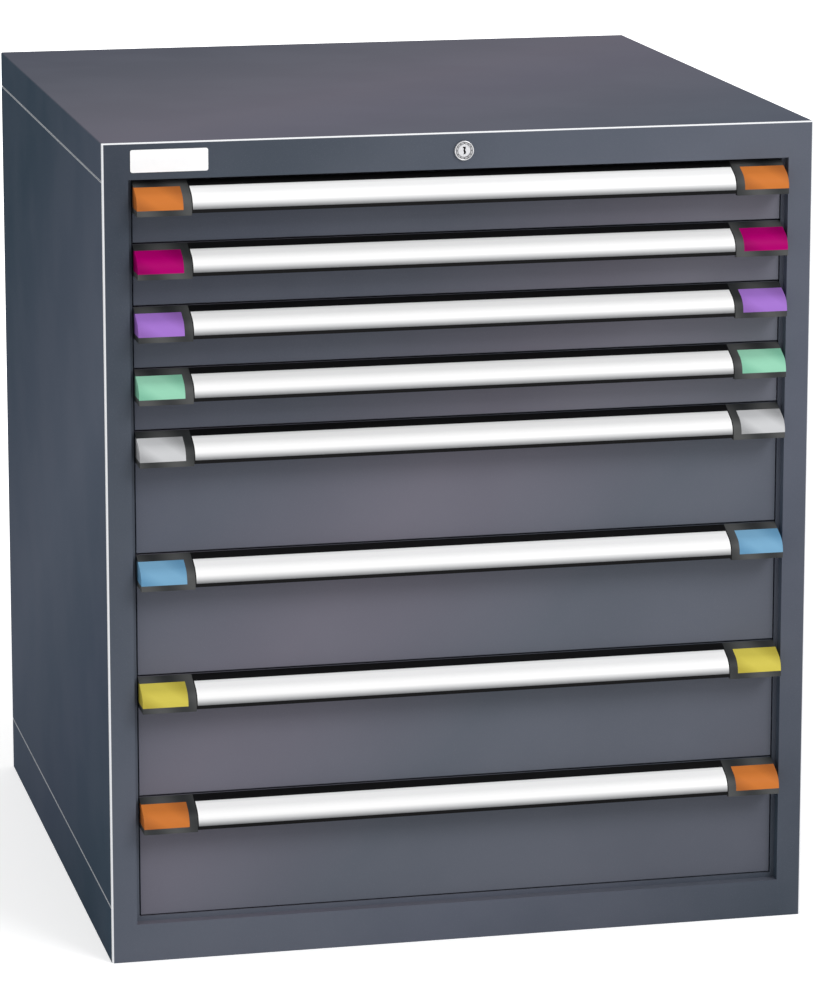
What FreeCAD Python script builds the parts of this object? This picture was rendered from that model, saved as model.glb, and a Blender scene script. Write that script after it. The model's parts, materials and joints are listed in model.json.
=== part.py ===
import FreeCAD, Part
import math
import os
import re

import Sketcher

Vector = FreeCAD.Vector

# Drawers from the top down, each as tall as this many grid units.
DRAWER_UNITS = (1, 1, 1, 1, 2, 2, 2, 2)
STUD_COUNT = 3

# Driving dimensions in millimetres, angles in degrees: alias, value, meaning.
SIZES = (
    ("cab_width", 695, "overall width of the housing"),
    ("cab_depth", 695, "face of the front frame to the back panel"),
    ("unit_rise", 60, "height of one grid unit of drawer front"),
    ("post_width", 25, "front posts"),
    ("top_rail", 35, "front rail above the opening"),
    ("bottom_rail", 37.5, "front rail below the opening"),
    ("face_sheet", 2, "sheet of the front frame"),
    ("lip_side", 4, "stop lip inside the opening, on the posts"),
    ("lip_low", 5, "stop lip on the bottom rail"),
    ("lip_high", 2, "stop lip under the top rail"),
    ("lip_gap", 1, "drawer fronts to the stop lip round them"),
    ("edge_round", 1.5, "rounding of the housing's outer edges"),
    ("wall_sheet", 1.5, "sheet of walls, skirts and laps"),
    ("top_sheet", 2, "sheet of the top"),
    ("top_skirt", 36, "skirt of the top cover"),
    ("plinth_skirt", 55, "skirt of the base plinth"),
    ("seam_gap", 1.2, "open joint between a wall and a skirt"),
    ("lap_height", 14, "how far a lap reaches past the edge of its wall"),
    ("edge_flange", 15, "flanges folded in at the front and back of a wall"),
    ("floor_sheet", 2, "floor pan and foot flange"),
    ("foot_flange", 70, "flange that the cabinet stands on"),
    ("anchor_hole", 12, "floor anchor holes, diameter"),
    ("access_hole", 24, "holes in the pan above the anchors, diameter"),
    ("anchor_side", 50, "anchor to the side of the cabinet"),
    ("anchor_end", 62, "anchor to the face and to the back"),
    ("upright_sheet", 1.5, "sheet of the uprights"),
    ("upright_depth", 30, "front to back"),
    ("slot_rise", 14, "grid line to the bottom of an upright's slot"),
    ("slot_height", 12, "slots in the uprights"),
    ("slot_width", 5, "slots in the uprights"),
    ("tab_play", 0.5, "free space beside and above a rail's tab"),
    ("tab_reach", 3, "how far a rail's tab stands out of its web"),
    ("tab_inset", 12, "end of a rail to the middle of its tab"),
    ("rail_rise", 6, "grid line to the bottom of a rail"),
    ("rail_height", 26, "rails and runner channels"),
    ("rail_sheet", 1.5, "rails and runner channels"),
    ("rail_lip", 10.5, "flanges of a cabinet rail"),
    ("rail_setin", 1, "front of an upright to the front of its rails"),
    ("rear_space", 52, "rear end of the rails to the back panel"),
    ("rail_overhang", 25, "front of the rear upright to the end of the rails"),
    ("channel_lip", 10, "flanges of a drawer's runner channel"),
    ("side_play", 1.5, "carriage bar to the lips beside it"),
    ("bar_sheet", 2, "carriage bar"),
    ("bar_height", 28, "carriage bar"),
    ("bar_setin", 2, "front of a rail to the front of its carriage"),
    ("bar_short", 24, "end of a carriage to the end of its rail"),
    ("roller_gap", 0.3, "roller to the flange above and below it"),
    ("roller_width", 6, "rollers"),
    ("roller_standoff", 2.5, "carriage bar to a roller"),
    ("roller_end", 5, "roller to the end of the bar"),
    ("roller_reserve", 15, "roller to the end of its track at full travel"),
    ("pin_dia", 6, "roller pins"),
    ("pin_play", 0.05, "radial clearance of a roller on its pin"),
    ("pin_head_dia", 9, "heads of the roller pins"),
    ("pin_head", 1, "thickness of a pin's head"),
    ("pin_side_play", 0.3, "roller to the head of its pin"),
    ("front_setback", 10.5, "frame face to drawer front"),
    ("front_gap", 1.5, "between two drawer fronts"),
    ("front_sheet", 1.5, "drawer front"),
    ("front_fold", 12, "depth of the drawer front with its folded edges"),
    ("front_return", 12, "flange turned in behind the drawer front, which the tray is fixed to"),
    ("front_round", 0.8, "rounding of the drawer front"),
    ("tray_wall", 1, "sheet of the tray"),
    ("tray_lift", 2.5, "lower edge of the front to the underside of the tray"),
    ("tray_top_gap", 8.5, "upper edge of the front to the rim of the tray"),
    ("tray_short", 19, "rear of the tray to the end of the rails"),
    ("travel_short", 1.5, "length of the tray less its travel"),
    ("hood_slope", 25, "fall of the top of the grip"),
    ("hood_reach", 29, "grip in front of the drawer front"),
    ("hood_turn", 23.5, "upper edge to where the grip stands upright"),
    ("hood_height", 27.5, "height of the grip"),
    ("hood_sheet", 2.2, "wall of the grip"),
    ("hood_flange", 14, "flange that holds the grip to the front"),
    ("strip_top", 4.5, "upper edge of the grip to the label strip"),
    ("strip_bottom", 24, "upper edge of the grip to the foot of the strip"),
    ("strip_sheet", 0.8, "label strip"),
    ("strip_play", 1, "label strip to the end cap"),
    ("cap_length", 52, "end caps of the grip"),
    ("cap_height", 29.5, "end caps of the grip"),
    ("cap_sheet", 5, "wall and cheek of an end cap"),
    ("insert_length", 44, "coloured inserts"),
    ("insert_top", 4.5, "upper edge of the grip to the insert"),
    ("insert_bottom", 24, "upper edge of the grip to the foot of the insert"),
    ("insert_back", 3, "drawer front to the end face of an insert"),
    ("insert_sheet", 2.5, "coloured inserts"),
    ("lock_flange_dia", 19, "visible rim of the lock"),
    ("lock_flange", 1.8, "how far the rim stands in front of the face"),
    ("lock_barrel_dia", 16, "lock body behind the face"),
    ("lock_hole_play", 0.2, "lock body in its hole, radial"),
    ("lock_barrel", 18, "length of the lock body behind the face"),
    ("lock_nut_dia", 24, "nut"),
    ("lock_nut", 4, "nut"),
    ("plug_dia", 12, "lock plug"),
    ("plug_play", 0.05, "radial clearance of the plug"),
    ("plug_recess", 0.4, "rim to the face of the plug"),
    ("key_width", 2.2, "key slot"),
    ("key_height", 7.4, "key slot"),
    ("key_depth", 6, "key slot"),
    ("cam_sheet", 2.4, "cam behind the plug"),
    ("cam_end_play", 0.6, "lock body to the cam"),
    ("crank_dia", 4, "crank pin"),
    ("crank_wall", 2.2, "cam round the crank pin"),
    ("crank_play", 0.5, "crank pin in its slot"),
    ("bolt_lift", 10, "stroke of the locking bar"),
    ("bolt_sheet", 2, "plates of the locking bar"),
    ("bolt_width", 14, "upright strip of the locking bar"),
    ("arm_height", 15, "arm of the locking bar"),
    ("arm_tail", 8, "arm past the crank slot"),
    ("bolt_side_play", 1.5, "strip to the web of the upright"),
    ("bolt_front_play", 1.3, "folded edge of a front to the locking bar"),
    ("bolt_back_play", 0.3, "locking bar to the upright"),
    ("bolt_foot", 12, "strip below its lowest catch"),
    ("catch_reach", 15.5, "catches beside the strip"),
    ("catch_height", 6, "catches"),
    ("catch_play", 1, "catch to lug when the bar is down"),
    ("lug_rise", 8.5, "top of the runner channel to the lug"),
    ("lug_height", 7, "lug of a tray"),
    ("lug_depth", 6, "lug of a tray"),
    ("lug_play", 0.8, "locking bar to lug"),
    ("lug_side_play", 2.5, "lug to the stop lip"),
    ("stud_dia", 5, "guide studs"),
    ("stud_play", 0.3, "stud in its slot, and head to plate"),
    ("stud_head_dia", 10, "heads of the guide studs"),
    ("stud_head", 1.5, "heads of the guide studs"),
    ("plate_side", 2, "name plate to the line of the opening's edge"),
    ("plate_width", 74, "name plate"),
    ("plate_height", 21.5, "name plate"),
    ("plate_sheet", 0.8, "name plate"),
    ("plate_round", 2, "corners of the name plate"),
)

# Derived positions, with x from the middle, y from the frame's face and z from the floor or a grid line.
LAYOUT = (
    ("stack_base", "bottom_rail + lip_low + lip_gap - front_gap / 2"),
    ("stack_top", f"stack_base + {sum(DRAWER_UNITS)} * unit_rise"),
    ("open_top", "stack_top - front_gap / 2 + lip_gap + lip_high"),
    ("cab_height", "open_top + top_rail"),
    ("half_width", "cab_width / 2"),
    ("half_open", "half_width - post_width"),
    ("half_pass", "half_open - lip_side"),
    ("wall_in", "half_width - wall_sheet"),
    ("lap_in", "half_width - 2 * wall_sheet"),
    ("back_in", "cab_depth - wall_sheet"),
    ("wall_foot", "plinth_skirt + seam_gap"),
    ("wall_head", "cab_height - top_skirt - seam_gap"),
    ("pan_top", "bottom_rail - face_sheet"),
    ("grip_proud", "hood_reach - front_setback"),
    ("face_place", "-(cab_depth - grip_proud) / 2"),
    ("rail_web", "half_open + face_sheet"),
    ("upright_web", "rail_web + rail_sheet"),
    ("rail_edge", "rail_web - rail_lip"),
    ("bar_out", "rail_edge - side_play"),
    ("bar_in", "bar_out - bar_sheet"),
    ("channel_edge", "bar_in - side_play"),
    ("tray_half", "channel_edge - channel_lip - rail_sheet"),
    ("fold_end", "front_setback + front_fold"),
    ("bolt_front", "fold_end + bolt_front_play"),
    ("bolt_back", "bolt_front + bolt_sheet"),
    ("upright_face", "bolt_back + bolt_back_play"),
    ("rail_start", "upright_face + rail_setin"),
    ("rail_end", "cab_depth - rear_space"),
    ("rear_upright", "rail_end - rail_overhang"),
    ("bar_start", "rail_start + bar_setin"),
    ("bar_end", "rail_end - bar_short"),
    ("bar_middle", "rail_rise + rail_height / 2"),
    ("tray_end", "rail_end - tray_short"),
    ("travel", "tray_end - fold_end - travel_short"),
    ("roller_dia", "rail_height - 2 * rail_sheet - 2 * roller_gap"),
    ("front_half", "half_pass - lip_gap"),
    ("tray_floor", "front_gap / 2 + tray_lift"),
    ("lug_base", "rail_rise + rail_height + lug_rise"),
    ("catch_base", "lug_base - catch_play - catch_height"),
    ("hood_radius", "(hood_turn - tan(hood_slope) * hood_reach)"
                    " / (cos(hood_slope) - tan(hood_slope) * (1 - sin(hood_slope)))"),
    ("hood_centre", "hood_reach - hood_radius"),
    ("grip_half", "front_half - cap_length"),
    ("lock_height", "cab_height - top_rail / 2"),
    ("crank_throw", "bolt_lift / sqrt(2)"),
    ("crank_side", "bolt_lift / 2"),
    ("arm_middle", "lock_height - bolt_lift / 2"),
    ("arm_front", "bolt_front - bolt_sheet"),
    ("arm_top", "arm_middle + arm_height / 2"),
    ("cam_front", "lock_barrel + cam_end_play"),
    ("cam_back", "cam_front + cam_sheet"),
    ("strip_in", "upright_web + bolt_side_play"),
    ("strip_foot", "stack_base + catch_base - bolt_foot"),
)

doc = FreeCAD.newDocument("drawer_cabinet")
owner = {}


def add_sheet(name, rows):
    """A spreadsheet with one row per value: name, value, meaning."""
    page = doc.addObject("Spreadsheet::Sheet", name)
    for number, row in enumerate(rows, 1):
        page.set(f"A{number}", row[0])
        page.set(f"B{number}", row[1])
        page.set(f"C{number}", row[2])
        page.setAlias(f"B{number}", row[0])
        owner[row[0]] = name
    return page


def qualified(text):
    """An expression with every alias led by its sheet's name."""
    def full(match):
        word = match.group()
        return f"{owner[word]}.{word}" if word in owner else word
    return re.sub(r"[a-z_][a-z0-9_]*", full, str(text))


sizes = add_sheet("Sizes", [(alias, str(value), note) for alias, value, note in SIZES])
for alias, _ in LAYOUT:
    owner[alias] = "Layout"
layout = doc.addObject("Spreadsheet::Sheet", "Layout")
for number, (alias, formula) in enumerate(LAYOUT, 1):
    words = re.sub(r"[a-z_][a-z0-9_]*",
                   lambda m: f"Sizes.{m.group()}" if owner.get(m.group()) == "Sizes" else m.group(), formula)
    layout.set(f"A{number}", alias)
    layout.set(f"B{number}", "=" + words)
    layout.setAlias(f"B{number}", alias)
doc.recompute()


def value(text):
    """The number that an expression gives now."""
    return float(sizes.evalExpression(qualified(text)))


def bind(item, prop, text):
    item.setExpression(prop, qualified(text))


def place(item, x=0, y=0, z=0):
    for axis, text in zip("xyz", (x, y, z)):
        bind(item, f"Placement.Base.{axis}", text)


def box(name, low, high):
    """A block between two corners, each given as three expressions."""
    item = doc.addObject("Part::Box", name)
    for prop, start, end in zip(("Length", "Width", "Height"), low, high):
        bind(item, prop, f"({end}) - ({start})")
    place(item, *low)
    return item


def cylinder(name, axis, base, dia, length):
    """A round bar from base along +X, +Y or +Z."""
    item = doc.addObject("Part::Cylinder", name)
    bind(item, "Radius", f"({dia}) / 2")
    bind(item, "Height", length)
    turns = {"x": FreeCAD.Rotation(Vector(0, 1, 0), 90), "y": FreeCAD.Rotation(Vector(1, 0, 0), -90),
             "z": FreeCAD.Rotation()}
    item.Placement.Rotation = turns[axis]
    place(item, *base)
    return item


def fuse(name, items):
    item = doc.addObject("Part::MultiFuse", name)
    item.Shapes = items
    item.Refine = True
    return item


def cut(name, base, tools):
    item = doc.addObject("Part::Cut", name)
    item.Base = base
    item.Tool = tools[0] if len(tools) == 1 else fuse(f"{name}_tools", tools)
    item.Refine = True
    return item


def mirrored(name, source):
    """The same piece on the other side of the middle plane."""
    item = doc.addObject("Part::Mirroring", name)
    item.Source = source
    item.Base = Vector(0, 0, 0)
    item.Normal = Vector(1, 0, 0)
    return item


def group(name, items):
    item = doc.addObject("Part::Compound", name)
    item.Links = items
    return item


def new_sketch(body, name, plane, offset=0):
    """A sketch on one of the body's own origin planes, moved along +X, +Y or +Z by offset."""
    sketch = body.newObject("Sketcher::SketchObject", name)
    base = next(feature for feature in body.Origin.OriginFeatures if feature.Role == f"{plane}_Plane")
    sketch.AttachmentSupport = [(base, "")]
    sketch.MapMode = "FlatFace"
    sign = "-" if plane == "XZ" else ""
    bind(sketch, "AttachmentOffset.Base.z", f"{sign}({offset})")
    return sketch


def fix_point(sketch, geometry, position, u, v):
    """Holds a point of a sketch at two distances from the sketch's origin."""
    for kind, text in (("DistanceX", u), ("DistanceY", v)):
        index = sketch.addConstraint(Sketcher.Constraint(kind, -1, 1, geometry, position, value(text)))
        bind(sketch, f"Constraints[{index}]", text)


def add_outline(sketch, corners, arcs=None):
    """A closed outline through the corners. arcs maps the corner where an arc starts to its radius and whether it
    turns anticlockwise."""
    arcs = arcs or {}
    spots = [Vector(value(u), value(v), 0) for u, v in corners]
    ends = []
    for number, start in enumerate(spots):
        end = spots[(number + 1) % len(spots)]
        if number not in arcs:
            index = sketch.addGeometry(Part.LineSegment(start, end), False)
            ends.append((index, 1, 2))
            continue
        text, anticlockwise = arcs[number]
        first, last = (start, end) if anticlockwise else (end, start)
        radius = value(text)
        chord = last - first
        rise = math.sqrt(radius ** 2 - (chord.Length / 2) ** 2)
        centre = (first + last) / 2 + Vector(-chord.y, chord.x, 0).normalize() * rise
        angles = [math.atan2(spot.y - centre.y, spot.x - centre.x) for spot in (first, last)]
        circle = Part.Circle(centre, Vector(0, 0, 1), radius)
        index = sketch.addGeometry(Part.ArcOfCircle(circle, *angles), False)
        ends.append((index, 1, 2) if anticlockwise else (index, 2, 1))
        constraint = sketch.addConstraint(Sketcher.Constraint("Radius", index, radius))
        bind(sketch, f"Constraints[{constraint}]", text)
    for number, (u, v) in enumerate(corners):
        here, before = ends[number], ends[number - 1]
        sketch.addConstraint(Sketcher.Constraint("Coincident", before[0], before[2], here[0], here[1]))
        fix_point(sketch, here[0], here[1], u, v)


def add_rectangle(sketch, low, high):
    add_outline(sketch, [(low[0], low[1]), (high[0], low[1]), (high[0], high[1]), (low[0], high[1])])


def add_circle(sketch, u, v, dia):
    index = sketch.addGeometry(Part.Circle(Vector(value(u), value(v), 0), Vector(0, 0, 1), value(dia) / 2), False)
    fix_point(sketch, index, 3, u, v)
    constraint = sketch.addConstraint(Sketcher.Constraint("Diameter", index, value(dia)))
    bind(sketch, f"Constraints[{constraint}]", dia)


def new_body(name):
    return doc.addObject("PartDesign::Body", name)


def pad(body, sketch, length, back=False):
    """Thickens a sketch along +X, +Y or +Z, or the other way where back is set."""
    feature = body.newObject("PartDesign::Pad", f"{sketch.Name}_pad")
    feature.Profile = sketch
    bind(feature, "Length", length)
    feature.Reversed = back != (sketch.AttachmentSupport[0][0].Role == "XZ_Plane")
    return feature


def pocket(body, sketch, length, back=False):
    """Cuts a sketch along +X, +Y or +Z, or the other way where back is set, and checks that it cuts."""
    before = body.Shape.Volume
    feature = body.newObject("PartDesign::Pocket", f"{sketch.Name}_pocket")
    feature.Profile = sketch
    bind(feature, "Length", length)
    feature.Reversed = back == (sketch.AttachmentSupport[0][0].Role == "XZ_Plane")
    doc.recompute()
    if not feature.Shape.Volume < before:
        raise RuntimeError(f"{feature.Name} cuts nothing")
    return feature


def fillet(body, base, radius, wanted):
    """Rounds the edges of a feature whose middle the function wanted accepts."""
    doc.recompute()
    names = [f"Edge{number}" for number, edge in enumerate(base.Shape.Edges, 1)
             if wanted(edge.valueAt((edge.FirstParameter + edge.LastParameter) / 2))]
    feature = body.newObject("PartDesign::Fillet", f"{base.Name}_round")
    feature.Base = (base, names)
    bind(feature, "Radius", radius)
    return feature


def near(one, other):
    return abs(one - other) < 0.01


nodes = []


def keep(item, label, x=0, z=0):
    """Marks a finished piece, named by its label, and puts it at its place behind the frame's face."""
    item.Label = label
    place(item, x, "face_place", z)
    nodes.append(item)
    return item


def make_front_frame():
    body = new_body("front_frame_body")
    outer = new_sketch(body, "frame_outer", "XZ")
    add_rectangle(outer, ("-half_width", 0), ("half_width", "cab_height"))
    face = pad(body, outer, "face_sheet")
    lining = new_sketch(body, "frame_lining", "XZ")
    add_rectangle(lining, ("-half_open - face_sheet", "pan_top"),
                  ("half_open + face_sheet", "open_top + face_sheet"))
    pad(body, lining, "front_setback + face_sheet")
    doc.recompute()
    opening = new_sketch(body, "frame_opening", "XZ")
    add_rectangle(opening, ("-half_open", "bottom_rail"), ("half_open", "open_top"))
    pocket(body, opening, "front_setback")
    passage = new_sketch(body, "frame_passage", "XZ")
    add_rectangle(passage, ("-half_pass", "bottom_rail + lip_low"), ("half_pass", "open_top - lip_high"))
    pocket(body, passage, "front_setback + face_sheet + 1")
    lock_hole = new_sketch(body, "frame_lock_hole", "XZ")
    add_circle(lock_hole, "0", "lock_height", "lock_barrel_dia + 2 * lock_hole_play")
    drilled = pocket(body, lock_hole, "face_sheet + 1")
    side, top = value("half_width"), value("cab_height")
    fillet(body, drilled, "edge_round",
           lambda spot: near(spot.y, 0) and (near(abs(spot.x), side) or near(spot.z, top)))
    keep(body, "front_frame")


def make_top_cover():
    body = new_body("top_cover_body")
    block = new_sketch(body, "cover_block", "XY", "cab_height - top_skirt")
    add_rectangle(block, ("-half_width", "face_sheet"), ("half_width", "cab_depth"))
    pad(body, block, "top_skirt")
    doc.recompute()
    hollow = new_sketch(body, "cover_hollow", "XY", "cab_height - top_skirt")
    add_rectangle(hollow, ("-wall_in", "face_sheet - 1"), ("wall_in", "back_in"))
    shell = pocket(body, hollow, "top_skirt - top_sheet")
    side, end, top = value("half_width"), value("cab_depth"), value("cab_height")
    fillet(body, shell, "edge_round",
           lambda spot: (near(spot.z, top) and (near(abs(spot.x), side) or near(spot.y, end)))
           or (near(abs(spot.x), side) and near(spot.y, end)))
    keep(body, "top_cover")


def make_side_walls():
    panel = box("side_panel", ("wall_in", "face_sheet", "wall_foot"), ("half_width", "cab_depth", "wall_head"))
    laps = [
        box("side_lap_low", ("lap_in", "face_sheet + wall_sheet", "wall_foot - lap_height"),
            ("wall_in", "cab_depth - 2 * wall_sheet", "wall_foot + lap_height")),
        box("side_lap_high", ("lap_in", "face_sheet + wall_sheet", "wall_head - lap_height"),
            ("wall_in", "cab_depth - 2 * wall_sheet", "wall_head + lap_height")),
    ]
    flanges = [
        box("side_flange_front", ("wall_in - edge_flange", "face_sheet", "wall_foot"),
            ("wall_in", "face_sheet + wall_sheet", "wall_head")),
        box("side_flange_back", ("wall_in - edge_flange", "cab_depth - 2 * wall_sheet", "wall_foot"),
            ("wall_in", "back_in", "wall_head")),
    ]
    wall = fuse("side_wall", [panel] + laps + flanges)
    keep(group("right_wall", [wall]), "right_side")
    keep(group("left_wall", [mirrored("side_wall_left", wall)]), "left_side")


def make_back_panel():
    inner = "(wall_in - edge_flange - seam_gap)"
    panel = box("back_sheet", ("-wall_in", "back_in", "wall_foot"), ("wall_in", "cab_depth", "wall_head"))
    laps = [
        box("back_lap_low", (f"-{inner}", "cab_depth - 2 * wall_sheet", "wall_foot - lap_height"),
            (inner, "back_in", "wall_foot + lap_height")),
        box("back_lap_high", (f"-{inner}", "cab_depth - 2 * wall_sheet", "wall_head - lap_height"),
            (inner, "back_in", "wall_head + lap_height")),
    ]
    keep(fuse("back_panel_sheet", [panel] + laps), "back_panel")


def make_base_plinth():
    block = box("plinth_block", ("-half_width", "face_sheet", 0), ("half_width", "cab_depth", "plinth_skirt"))
    above = box("plinth_above", ("-wall_in", "face_sheet - 1", "pan_top"), ("wall_in", "back_in", "plinth_skirt + 1"))
    below = box("plinth_below", ("-wall_in", "face_sheet + wall_sheet", "floor_sheet"),
                ("wall_in", "back_in", "pan_top - floor_sheet"))
    clear = box("plinth_clear", ("-wall_in + foot_flange", "face_sheet + wall_sheet + foot_flange", -1),
                ("wall_in - foot_flange", "back_in - foot_flange", "floor_sheet + 1"))
    holes = []
    for side in ("-", ""):
        for number, depth in enumerate(("anchor_end", "cab_depth - anchor_end")):
            spot = f"{side}(half_width - anchor_side)"
            holes.append(cylinder(f"anchor_{len(holes)}", "z", (spot, depth, -1), "anchor_hole", "floor_sheet + 2"))
            holes.append(cylinder(f"access_{len(holes)}", "z", (spot, depth, "pan_top - floor_sheet - 1"),
                                  "access_hole", "floor_sheet + 2"))
    keep(cut("plinth", block, [above, below, clear] + holes), "base_plinth")


def make_upright(name, start):
    """A channel with its web inwards and a column of slots, one at each grid line."""
    body = new_body(f"{name}_body")
    section = new_sketch(body, f"{name}_section", "XY", "pan_top")
    end = f"({start} + upright_depth)"
    inner = "upright_web + upright_sheet"
    add_outline(section, [
        ("upright_web", start), ("lap_in", start), ("lap_in", f"{start} + upright_sheet"),
        (inner, f"{start} + upright_sheet"), (inner, f"{end} - upright_sheet"),
        ("lap_in", f"{end} - upright_sheet"), ("lap_in", end), ("upright_web", end)])
    pad(body, section, "cab_height - top_sheet - pan_top")
    doc.recompute()
    slot = new_sketch(body, f"{name}_slot", "YZ", "upright_web - 1")
    middle = "(rail_start + tab_inset)" if start == "upright_face" else "(rail_end - tab_inset)"
    low = "(stack_base + slot_rise)"
    add_rectangle(slot, (f"{middle} - slot_width / 2", low), (f"{middle} + slot_width / 2", f"{low} + slot_height"))
    first = pocket(body, slot, "upright_sheet + 2")
    pattern = body.newObject("PartDesign::LinearPattern", f"{name}_slots")
    pattern.Originals = [first]
    axis = next(feature for feature in body.Origin.OriginFeatures if feature.Role == "Z_Axis")
    pattern.Direction = (axis, [""])
    bind(pattern, "Length", f"{sum(DRAWER_UNITS) - 1} * unit_rise")
    pattern.Occurrences = sum(DRAWER_UNITS)
    body.Tip = pattern
    return body


def stud_height(number):
    return f"(strip_foot + (arm_top - strip_foot) * {2 * number + 1} / {2 * STUD_COUNT})"


def make_stud(number):
    """A headed stud that stands out of the front upright, through the locking bar."""
    x, z = "(strip_in + bolt_width / 2)", stud_height(number)
    head_back = "(bolt_front - stud_play)"
    shank = cylinder(f"stud_{number}_shank", "y", (x, head_back, z), "stud_dia", f"upright_face - {head_back}")
    head = cylinder(f"stud_{number}_head", "y", (x, f"{head_back} - stud_head", z), "stud_head_dia", "stud_head")
    return fuse(f"stud_{number}", [shank, head])


def make_uprights():
    front = make_upright("upright_front", "upright_face")
    rear = make_upright("upright_rear", "rear_upright")
    pieces = [front, rear, mirrored("upright_front_left", front), mirrored("upright_rear_left", rear)]
    pieces += [make_stud(number) for number in range(STUD_COUNT)]
    keep(group("uprights_set", pieces), "uprights")


def slot_base(number):
    """The grid line under drawer number, which counts from 1 at the top."""
    return f"(stack_top - {sum(DRAWER_UNITS[:number])} * unit_rise)"


def make_channel(name, web, edge, start, end, base):
    """A lying U of sheet, with its web's inner face at web and its flanges reaching to edge."""
    body = new_body(f"{name}_body")
    section = new_sketch(body, f"{name}_section", "XZ", start)
    out = f"({web} + rail_sheet)" if value(web) > value(edge) else f"({web} - rail_sheet)"
    top = f"({base} + rail_height)"
    add_outline(section, [
        (out, base), (edge, base), (edge, f"{base} + rail_sheet"), (web, f"{base} + rail_sheet"),
        (web, f"{top} - rail_sheet"), (edge, f"{top} - rail_sheet"), (edge, top), (out, top)])
    pad(body, section, f"{end} - {start}")
    return body


def make_cabinet_rail(number):
    """A rail of the housing, with a tab at each end that hooks into an upright."""
    base = f"({slot_base(number)} + rail_rise)"
    channel = make_channel(f"rail_{number}", "rail_web", "rail_edge", "rail_start", "rail_end", base)
    tab_low = f"({slot_base(number)} + slot_rise)"
    tabs = []
    for end, middle in (("front", "(rail_start + tab_inset)"), ("rear", "(rail_end - tab_inset)")):
        half = "(slot_width / 2 - tab_play)"
        tabs.append(box(f"rail_{number}_tab_{end}", ("upright_web", f"{middle} - {half}", tab_low),
                        ("upright_web + tab_reach", f"{middle} + {half}", f"{tab_low} + slot_height - tab_play")))
    return fuse(f"cabinet_rail_{number}", [channel] + tabs)


def make_cabinet_rails():
    pieces = []
    for number in range(1, len(DRAWER_UNITS) + 1):
        right = make_cabinet_rail(number)
        pieces += [right, mirrored(f"cabinet_rail_{number}_left", right)]
    keep(group("cabinet_rail_set", pieces), "cabinet_rails")


def make_lock():
    """The lock sits in the middle of the top rail. Its cam carries the crank pin that lifts the locking bar."""
    x, z = "0", "lock_height"
    rim = cylinder("lock_rim", "y", (x, "-lock_flange", z), "lock_flange_dia", "lock_flange")
    barrel = cylinder("lock_barrel_bar", "y", (x, 0, z), "lock_barrel_dia", "lock_barrel")
    bore = cylinder("lock_bore", "y", (x, "-lock_flange - 1", z), "plug_dia + 2 * plug_play",
                    "lock_flange + lock_barrel + 2")
    shell = cut("lock_shell", fuse("lock_blank", [rim, barrel]), [bore])
    nut_blank = cylinder("lock_nut_blank", "y", (x, "face_sheet", z), "lock_nut_dia", "lock_nut")
    nut_bore = cylinder("lock_nut_bore", "y", (x, "face_sheet - 1", z), "lock_barrel_dia + 2 * pin_play",
                        "lock_nut + 2")
    keep(group("lock_body_set", [shell, cut("lock_nut_ring", nut_blank, [nut_bore])]), "lock_body")

    plug_front = "(plug_recess - lock_flange)"
    bar = cylinder("plug_bar", "y", (x, plug_front, z), "plug_dia", f"cam_front - {plug_front}")
    slot = box("plug_key_slot", ("-key_width / 2", f"{plug_front} - 1", "lock_height - key_height / 2"),
               ("key_width / 2", f"{plug_front} + key_depth", "lock_height + key_height / 2"))
    cam_body = new_body("cam_body")
    hub = new_sketch(cam_body, "cam_hub", "XZ", "cam_front")
    add_circle(hub, x, z, "plug_dia")
    pad(cam_body, hub, "cam_sheet")
    tip = new_sketch(cam_body, "cam_tip", "XZ", "cam_front")
    add_circle(tip, "crank_side", "arm_middle", "crank_dia + 2 * crank_wall")
    pad(cam_body, tip, "cam_sheet")
    crank = new_sketch(cam_body, "cam_crank", "XZ", "cam_front")
    add_circle(crank, "crank_side", "arm_middle", "crank_dia")
    pad(cam_body, crank, "bolt_back - cam_front + crank_play")
    keep(group("lock_plug_set", [cut("plug", bar, [slot]), cam_body]), "lock_plug")


def make_lock_bar():
    """A strip behind the right post with a catch for each drawer, and an arm that the crank pin lifts."""
    slot_start = "(crank_side - crank_dia / 2 - crank_play)"
    slot_end = "(crank_throw + crank_dia / 2 + crank_play)"
    arm = box("bolt_arm_blank", (f"{slot_start} - arm_tail", "arm_front", "arm_middle - arm_height / 2"),
              ("strip_in + bolt_width", "bolt_front", "arm_top"))
    crank_slot = box("bolt_crank_slot", (slot_start, "arm_front - 1", "arm_middle - crank_dia / 2 - crank_play"),
                     (slot_end, "bolt_front + 1", "arm_middle + crank_dia / 2 + crank_play"))
    strip = box("bolt_strip_blank", ("strip_in", "bolt_front", "strip_foot"),
                ("strip_in + bolt_width", "bolt_back", "arm_top"))
    strip_slots, arm_slots = [], []
    middle = "(strip_in + bolt_width / 2)"
    wide = "(stud_dia + 2 * stud_play)"
    for number in range(STUD_COUNT):
        z = stud_height(number)
        strip_slots += [
            box(f"bolt_slot_{number}", (f"{middle} - {wide} / 2", "bolt_front - 1", f"{z} - bolt_lift"),
                (f"{middle} + {wide} / 2", "bolt_back + 1", z)),
            cylinder(f"bolt_slot_{number}_top", "y", (middle, "bolt_front - 1", z), wide, "bolt_sheet + 2"),
            cylinder(f"bolt_slot_{number}_foot", "y", (middle, "bolt_front - 1", f"{z} - bolt_lift"), wide,
                     "bolt_sheet + 2")]
    pieces = [cut("bolt_arm", arm, [crank_slot]), cut("bolt_strip", strip, strip_slots)]
    for number in range(1, len(DRAWER_UNITS) + 1):
        base = f"({slot_base(number)} + catch_base)"
        pieces.append(box(f"bolt_catch_{number}", ("strip_in - catch_reach", "bolt_front", base),
                          ("strip_in", "bolt_back", f"{base} + catch_height")))
    keep(group("lock_bar_set", pieces), "lock_bar")


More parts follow.
